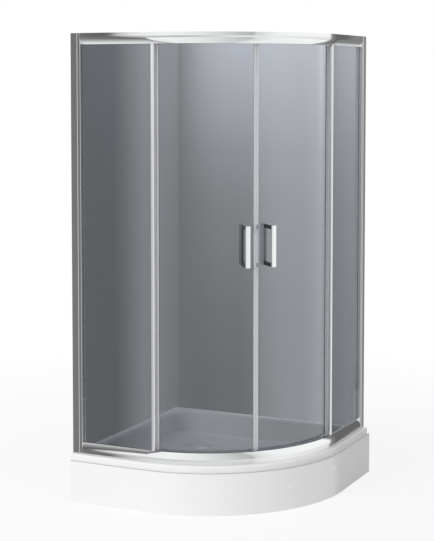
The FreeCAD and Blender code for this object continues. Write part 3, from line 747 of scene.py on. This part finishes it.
# %% Trap
TRAP_RADIUS = 50 * MM
TRAP_WALL = 3 * MM
TRAP_FLOOR = 14 * MM
TRAP_TOP = 72 * MM
COLLAR_RADIUS = 58 * MM
COLLAR_HEIGHT = 6 * MM
OUTLET_RADIUS = 20 * MM
OUTLET_WALL = 2 * MM
OUTLET_RIM = 3 * MM
OUTLET_REACH = 45 * MM
OUTLET_HEIGHT = 40 * MM
cup = turned((
    (0, TRAP_FLOOR), (TRAP_RADIUS - 7 * MM, TRAP_FLOOR), (TRAP_RADIUS - 2 * MM, TRAP_FLOOR + 2 * MM),
    (TRAP_RADIUS, TRAP_FLOOR + 7 * MM), (TRAP_RADIUS, TRAP_TOP - COLLAR_HEIGHT),
    (COLLAR_RADIUS - 1 * MM, TRAP_TOP - COLLAR_HEIGHT), (COLLAR_RADIUS, TRAP_TOP - 5 * MM),
    (COLLAR_RADIUS, TRAP_TOP), (TRAP_RADIUS - TRAP_WALL, TRAP_TOP),
    (TRAP_RADIUS - TRAP_WALL, TRAP_FLOOR + TRAP_WALL), (0, TRAP_FLOOR + TRAP_WALL),
), steps=48)
spigot = turned((
    (0, TRAP_RADIUS - 5 * MM), (OUTLET_RADIUS + OUTLET_RIM, TRAP_RADIUS - 5 * MM),
    (OUTLET_RADIUS + OUTLET_RIM, TRAP_RADIUS + OUTLET_RIM), (OUTLET_RADIUS, TRAP_RADIUS + OUTLET_RIM),
    (OUTLET_RADIUS, TRAP_RADIUS + OUTLET_REACH), (OUTLET_RADIUS - OUTLET_WALL, TRAP_RADIUS + OUTLET_REACH),
    (OUTLET_RADIUS - OUTLET_WALL, TRAP_RADIUS - 4 * MM), (0, TRAP_RADIUS - 4 * MM),
), steps=32)
bmesh.ops.rotate(spigot, cent=(0, 0, 0), matrix=Matrix.Rotation(math.radians(-90), 3, "Y"), verts=spigot.verts)
bmesh.ops.translate(spigot, vec=(0, 0, OUTLET_HEIGHT), verts=spigot.verts)
work = join([cup, spigot])
bmesh.ops.translate(work, vec=WASTE, verts=work.verts)
stand_for("trap_body", work)
print("trap", round(2 * TRAP_RADIUS / MM), "mm across")

# %% [markdown]
# Three small screws through each wall profile hold the side frame once it is plumb. The heads are turned with
# a dished recess. Two grey buffers are pressed into the right door's seal, level with the legs of the pulls.

# %% Frame screws and seal buffers
SCREW_HEIGHTS = (335 * MM, 985 * MM, 1650 * MM)
SCREW_SPOT = (-436 * MM, -390 * MM)
SCREW = (
    (0, 1.0 * MM), (1.3 * MM, 1.3 * MM), (1.5 * MM, 2.0 * MM), (2.6 * MM, 1.8 * MM), (3.3 * MM, 1.0 * MM),
    (3.5 * MM, 0.3 * MM), (3.5 * MM, -0.4 * MM), (0, -0.4 * MM),
)
BUFFER = Vector((6.0, 2.0, 16)) * MM
BUFFER_ANGLE = 44.5
BUFFER_HEIGHTS = (1074 * MM, 931 * MM)
BUFFER_SINK = 0.4 * MM
SEAL_FACE = 57.7 * MM

screws = []
for height in SCREW_HEIGHTS:
    for side in ("left", "right"):
        screw = turned(SCREW, steps=20)
        spot = Matrix.Translation((*SCREW_SPOT, height)) @ Matrix.Rotation(math.radians(-90), 4, "X")
        if side == "right":
            spot = MIRROR @ spot
        bmesh.ops.transform(screw, matrix=spot, verts=screw.verts)
        screws.append(screw)
work = join(screws)
bmesh.ops.recalc_face_normals(work, faces=work.faces)
new_piece("frame_screws", work, "enclosure", "zinc_steel")
buffers = []
for height in BUFFER_HEIGHTS:
    buffer = bevelled_box(BUFFER)
    spot = place_on_front(BUFFER_ANGLE, SEAL_FACE + BUFFER.y / 2 - BUFFER_SINK, height, "right")
    bmesh.ops.transform(buffer, matrix=spot, verts=buffer.verts)
    buffers.append(buffer)
work = join(buffers)
bmesh.ops.recalc_face_normals(work, faces=work.faces)
new_piece("seal_buffers", work, "right_door", "grey_plastic")
print(len(screws), "screws and", len(buffers), "buffers")

# %% [markdown]
# The profile on the edge of each fixed pane is a small extrusion with a round nose towards the door. It is a
# bar with its upright edges rounded to three different radii, and a slot drawn into its back for the glass.
# The wide nose is what catches the light as one bright line.

# %% Edge profiles
NOSE_RADIUS = 6 * MM
OUTER_RADIUS = 2.5 * MM
INNER_RADIUS = 0.6 * MM
PANE_FACES = (-409.6 * MM, -404.4 * MM)
SLOT_DEPTH = 8 * MM
PROFILE_EDGE = 0.3 * MM
LOOKS_BACK = -0.9
NEAR = 0.01 * MM


def edge_profile(node):
    """Bar in the place of the left profile, with rounded uprights and a slot for the glass."""
    corners = [vertex.co for vertex in nodes[node].data.vertices]
    low = Vector(min(corner[axis] for corner in corners) for axis in range(3))
    high = Vector(max(corner[axis] for corner in corners) for axis in range(3))
    middle = (low + high) / 2
    work = bmesh.new()
    bmesh.ops.create_cube(work, size=1.0)
    bmesh.ops.scale(work, vec=high - low, verts=work.verts)
    bmesh.ops.translate(work, vec=middle, verts=work.verts)
    back = [face for face in work.faces if face.normal.x < LOOKS_BACK]
    for place in PANE_FACES:
        cut = set(back)
        for face in back:
            cut.update(face.edges)
            cut.update(face.verts)
        bmesh.ops.bisect_plane(work, geom=list(cut), plane_co=(0, place, 0), plane_no=(0, 1, 0))
        back = [face for face in work.faces if face.normal.x < LOOKS_BACK]
    slot = [face for face in back if PANE_FACES[0] < face.calc_center_median().y < PANE_FACES[1]]
    drawn = bmesh.ops.extrude_face_region(work, geom=slot)["geom"]
    bmesh.ops.translate(work, vec=(SLOT_DEPTH, 0, 0), verts=corners_in(drawn))
    radii = {
        (True, False): NOSE_RADIUS, (False, False): OUTER_RADIUS,
        (True, True): INNER_RADIUS, (False, True): INNER_RADIUS,
    }
    for (door_side, inside), radius in radii.items():
        edges = []
        for edge in work.edges:
            spot = (edge.verts[0].co + edge.verts[1].co) / 2
            on_corner = abs(abs(spot.x - middle.x) - (high.x - low.x) / 2) < NEAR
            on_corner = on_corner and abs(abs(spot.y - middle.y) - (high.y - low.y) / 2) < NEAR
            if on_corner and (spot.x > middle.x) == door_side and (spot.y > middle.y) == inside:
                edges.append(edge)
        bmesh.ops.bevel(work, geom=edges, offset=radius, segments=8, profile=0.5, affect="EDGES", material=-1)
    return work


for side in ("left", "right"):
    work = edge_profile("edge_profile_left")
    if side == "right":
        bmesh.ops.transform(work, matrix=MIRROR, verts=work.verts)
    bmesh.ops.recalc_face_normals(work, faces=work.faces)
    piece = stand_for("edge_profile_" + side, work)
    piece.data.shade_smooth()
    round_edges(piece, PROFILE_EDGE)
print("edge profiles with a nose of", round(NOSE_RADIUS / MM, 1), "mm")

# %% [markdown]
# Every other solid keeps its own shape with rounded edges.

# %% All other pieces
for node in nodes:
    if node not in finished:
        piece = stand_for(node, merged(node))
        piece.data.shade_smooth()
        round_edges(piece, EDGE_MM[slots[node]] * MM)
print(len(finished), "pieces finished")

# %% [markdown]
# The floor is a plain pale sheet. Near the enclosure it is matt and takes the shadow, and it fades to the
# white of the background further out, so no horizon shows.

# %% Floor
FLOOR_REACH = 30.0
FADE = (0.9, 3.0)  # metres from the middle


def pale_floor():
    """Matt and pale near the enclosure, and as white as the background further out."""
    material, tree, place = new_material("pale studio floor")
    far = add_node(tree, "VectorMath", {0: place}, operation="LENGTH")
    fade = add_node(tree, "MapRange", {
        "Value": far.outputs["Value"], "From Min": FADE[0], "From Max": FADE[1], "To Min": 0.8, "To Max": 1.0,
    })
    matt = add_node(tree, "BsdfDiffuse", {"Color": colour("#f4f4f4")})
    white = add_node(tree, "Emission", {"Color": (1, 1, 1, 1), "Strength": 1.0})
    path = add_node(tree, "LightPath")
    camera_or_gloss = add_node(tree, "Math", {
        0: path.outputs["Is Camera Ray"], 1: path.outputs["Is Glossy Ray"],
    }, operation="MAXIMUM")
    seen = add_node(tree, "Math", {
        0: camera_or_gloss.outputs[0], 1: path.outputs["Is Transmission Ray"],
    }, operation="MAXIMUM")
    share = add_node(tree, "Math", {0: fade.outputs[0], 1: seen.outputs[0]}, operation="MULTIPLY")
    both = add_node(tree, "MixShader", {0: share.outputs[0], 1: matt.outputs[0], 2: white.outputs[0]})
    close_material(tree, both)
    return material


floor_mesh = bpy.data.meshes.new("floor")
work = bmesh.new()
bmesh.ops.create_grid(work, x_segments=1, y_segments=1, size=FLOOR_REACH)
work.to_mesh(floor_mesh)
work.free()
floor = bpy.data.objects.new("floor", floor_mesh)
bpy.context.scene.collection.objects.link(floor)
floor_mesh.materials.append(pale_floor())
floor.visible_glossy = False
floor.visible_transmission = False
print("floor laid")

# %% [markdown]
# The studio is white to the camera. Metal and glass need more than white to show their shape, so what they
# mirror and let through is a studio with soft screens: its brightness is a broken line over the compass, once
# for head height and above and once for lower down, and the pale floor and ceiling close it. The narrow steps
# behind the enclosure are what its glass shows. Diffuse light comes from a plain dimmer sky.

# %% World
SKY = 0.50
# Compass angle from the front (-Y) towards +X, brightness at head height, brightness low down
STUDIO = (
    (-180, 1.20, 0.70), (-161, 1.55, 0.62), (-159.5, 1.55, 0.64), (-159.2, 1.22, 0.62), (-158.4, 1.22, 0.52),
    (-158, 1.25, 0.53), (-157.5, 1.31, 0.50), (-157.1, 1.32, 0.46), (-156.6, 1.34, 0.39), (-156.2, 1.38, 0.16),
    (-155.6, 1.36, 0.11), (-155.1, 1.27, 0.14), (-154.8, 1.21, 0.16), (-154.4, 1.09, 0.18), (-154, 0.92, 0.21),
    (-153.1, 0.34, 0.27), (-153.0, 0.52, 0.33), (-152.7, 0.52, 0.36), (-152.3, 0.52, 0.41), (-152, 0.52, 0.44),
    (-151.7, 0.53, 0.46), (-151.4, 0.46, 0.40), (-151, 0.39, 0.31), (-150.6, 0.44, 0.29), (-149, 0.38, 0.30),
    (-140, 0.40, 0.35), (-110, 0.90, 0.80), (-60, 1.00, 0.90), (-40, 0.50, 0.40), (-32, 0.24, 0.24),
    (-30, 0.14, 0.18), (-29.4, 0.15, 0.18), (-28.95, 0.60, 0.35), (-28.4, 0.85, 0.50), (-27.8, 1.00, 0.60),
    (-10, 1.04, 0.58), (0, 1.00, 0.56), (18, 0.91, 0.65), (36, 0.77, 0.85), (52, 0.60, 0.95),
    (61, 0.56, 0.95), (64, 0.76, 0.95), (72, 0.89, 0.95), (84, 1.03, 0.95), (115, 1.07, 0.89),
    (142.5, 1.07, 0.86), (147.8, 0.25, 0.25), (153.5, 0.20, 0.22), (155, 0.15, 0.15), (159.5, 0.15, 0.15),
    (159.9, 0.26, 0.25), (163, 0.28, 0.25), (180, 1.20, 0.70),
)
# Elevation in degrees, and the share that the head-height line has there
LIFT = ((-12, 0.0), (-8.9, 0.065), (-4.8, 0.22), (-2.7, 0.40), (-0.7, 0.70), (1.3, 1.0))
# Elevations between which the near floor, the floor underfoot and the ceiling take over
FLOOR_FROM = (-14.5, -15.3)
UNDERFOOT_FROM = (-18, -60)
CEILING_FROM = (55, 75)
GROUND = (0.55, 0.42)  # share of the head-height line that the floor and ceiling take, and their own part

world = bpy.data.worlds.new("studio")
bpy.context.scene.world = world
world.use_nodes = True
sky = world.node_tree
sky.nodes.clear()
look = add_node(sky, "SeparateXYZ", {0: add_node(sky, "TexCoord").outputs["Generated"]})
to_front = add_node(sky, "Math", {0: look.outputs["Y"], 1: -1.0}, operation="MULTIPLY")
compass = add_node(sky, "Math", {0: look.outputs["X"], 1: to_front.outputs[0]}, operation="ARCTAN2")
compass = add_node(sky, "Math", {0: compass.outputs[0]}, operation="DEGREES")
height = add_node(sky, "Math", {0: look.outputs["Z"]}, operation="ARCSINE")
height = add_node(sky, "Math", {0: height.outputs[0]}, operation="DEGREES")


def ramp(value, start, end):
    """0 to 1 as a value goes from start to end."""
    return add_node(sky, "MapRange", {"Value": value.outputs[0], "From Min": start, "From Max": end})


def mixed(share, without, full):
    """One brightness without the share, another with all of it."""
    return add_node(sky, "Mix", {0: share.outputs[0], 2: without, 3: full}, data_type="FLOAT")


def broken_line(value, points):
    """Sum of ramps that follows a line through (place, height, height) points."""
    total = add_node(sky, "CombineXYZ", {0: points[0][1], 1: points[0][-1]})
    for here, there in zip(points, points[1:]):
        rise = (there[1] - here[1], there[-1] - here[-1], 0)
        part = ramp(value, here[0], there[0])
        part = add_node(sky, "VectorMath", {0: rise, "Scale": part.outputs[0]}, operation="SCALE")
        total = add_node(sky, "VectorMath", {0: total.outputs[0], 1: part.outputs[0]}, operation="ADD")
    return add_node(sky, "SeparateXYZ", {0: total.outputs[0]})


at_head, low_down = broken_line(compass, STUDIO).outputs[:2]
shown = mixed(broken_line(height, LIFT), low_down, at_head)
shown = mixed(ramp(height, *FLOOR_FROM), shown.outputs[0], at_head)
closed = add_node(sky, "Math", {
    0: ramp(height, *UNDERFOOT_FROM).outputs[0], 1: ramp(height, *CEILING_FROM).outputs[0],
}, operation="MAXIMUM")
ground = add_node(sky, "Math", {0: at_head, 1: GROUND[0], 2: GROUND[1]}, operation="MULTIPLY_ADD")
shown = mixed(closed, shown.outputs[0], ground.outputs[0])
path = add_node(sky, "LightPath")
plain = add_node(sky, "Background", {"Color": (1, 1, 1, 1), "Strength": SKY})
mirrored = add_node(sky, "Background", {"Color": (1, 1, 1, 1), "Strength": shown.outputs[0]})
white = add_node(sky, "Background", {"Color": (1, 1, 1, 1), "Strength": 1.0})
bent = add_node(sky, "Math", {
    0: path.outputs["Is Glossy Ray"], 1: path.outputs["Is Transmission Ray"],
}, operation="MAXIMUM")
first = add_node(sky, "MixShader", {0: bent.outputs[0], 1: plain.outputs[0], 2: mirrored.outputs[0]})
second = add_node(sky, "MixShader", {
    0: path.outputs["Is Camera Ray"], 1: first.outputs[0], 2: white.outputs[0],
})
add_node(sky, "OutputWorld", {"Surface": second.outputs[0]})
print("sky strength", SKY, "and", len(STUDIO), "steps round the studio")

# %% [markdown]
# The light is plain and soft: one large key lamp ahead to the left, a weaker fill to the right, and a broad
# one overhead. Large lamps make soft shadows, and their power is set so that white acrylic stays just short
# of clipping.

# %% Lamps
LAMPS = {
    "key": {"at": (-1.8, -5.1, 2.6), "size": 2.6, "power": 150},
    "fill": {"at": (4.5, -1.5, 2.2), "size": 2.5, "power": 17},
    "overhead": {"at": (0.2, -0.4, 4.2), "size": 2.6, "power": 35},
}
for name, plan in LAMPS.items():
    lamp = bpy.data.lights.new(name, "AREA")
    lamp.shape = "SQUARE"
    lamp.size = plan["size"]
    lamp.energy = plan["power"]
    holder = bpy.data.objects.new(name, lamp)
    holder.location = plan["at"]
    holder.rotation_euler = (MIDDLE - holder.location).to_track_quat("-Z", "Y").to_euler()
    holder.visible_glossy = False
    holder.visible_transmission = False
    holder.visible_camera = False
    bpy.context.scene.collection.objects.link(holder)
print(len(LAMPS), "lamps")

# %% [markdown]
# The photograph was taken from 25 degrees to the right of the left side's normal, at head height, with a long
# lens. The uprights stay upright in it, so the picture is shifted down more than the camera is tilted.

# %% Camera
LENS = 95.99  # millimetres
SHIFT = -0.17
STANDS_AT = (2.404, -5.154, 1.617)
TILT_DOWN = 3.849
TURN = 25.334

view = bpy.data.cameras.new("camera")
view.lens = LENS
view.shift_y = SHIFT
view.clip_end = 200
camera = bpy.data.objects.new("camera", view)
camera.location = STANDS_AT
camera.rotation_euler = (math.radians(90 - TILT_DOWN), 0, math.radians(TURN))
bpy.context.scene.collection.objects.link(camera)
bpy.context.scene.camera = camera
bpy.context.scene.view_settings.view_transform = "Standard"
print("camera", round((camera.location - MIDDLE).length, 2), "m away")
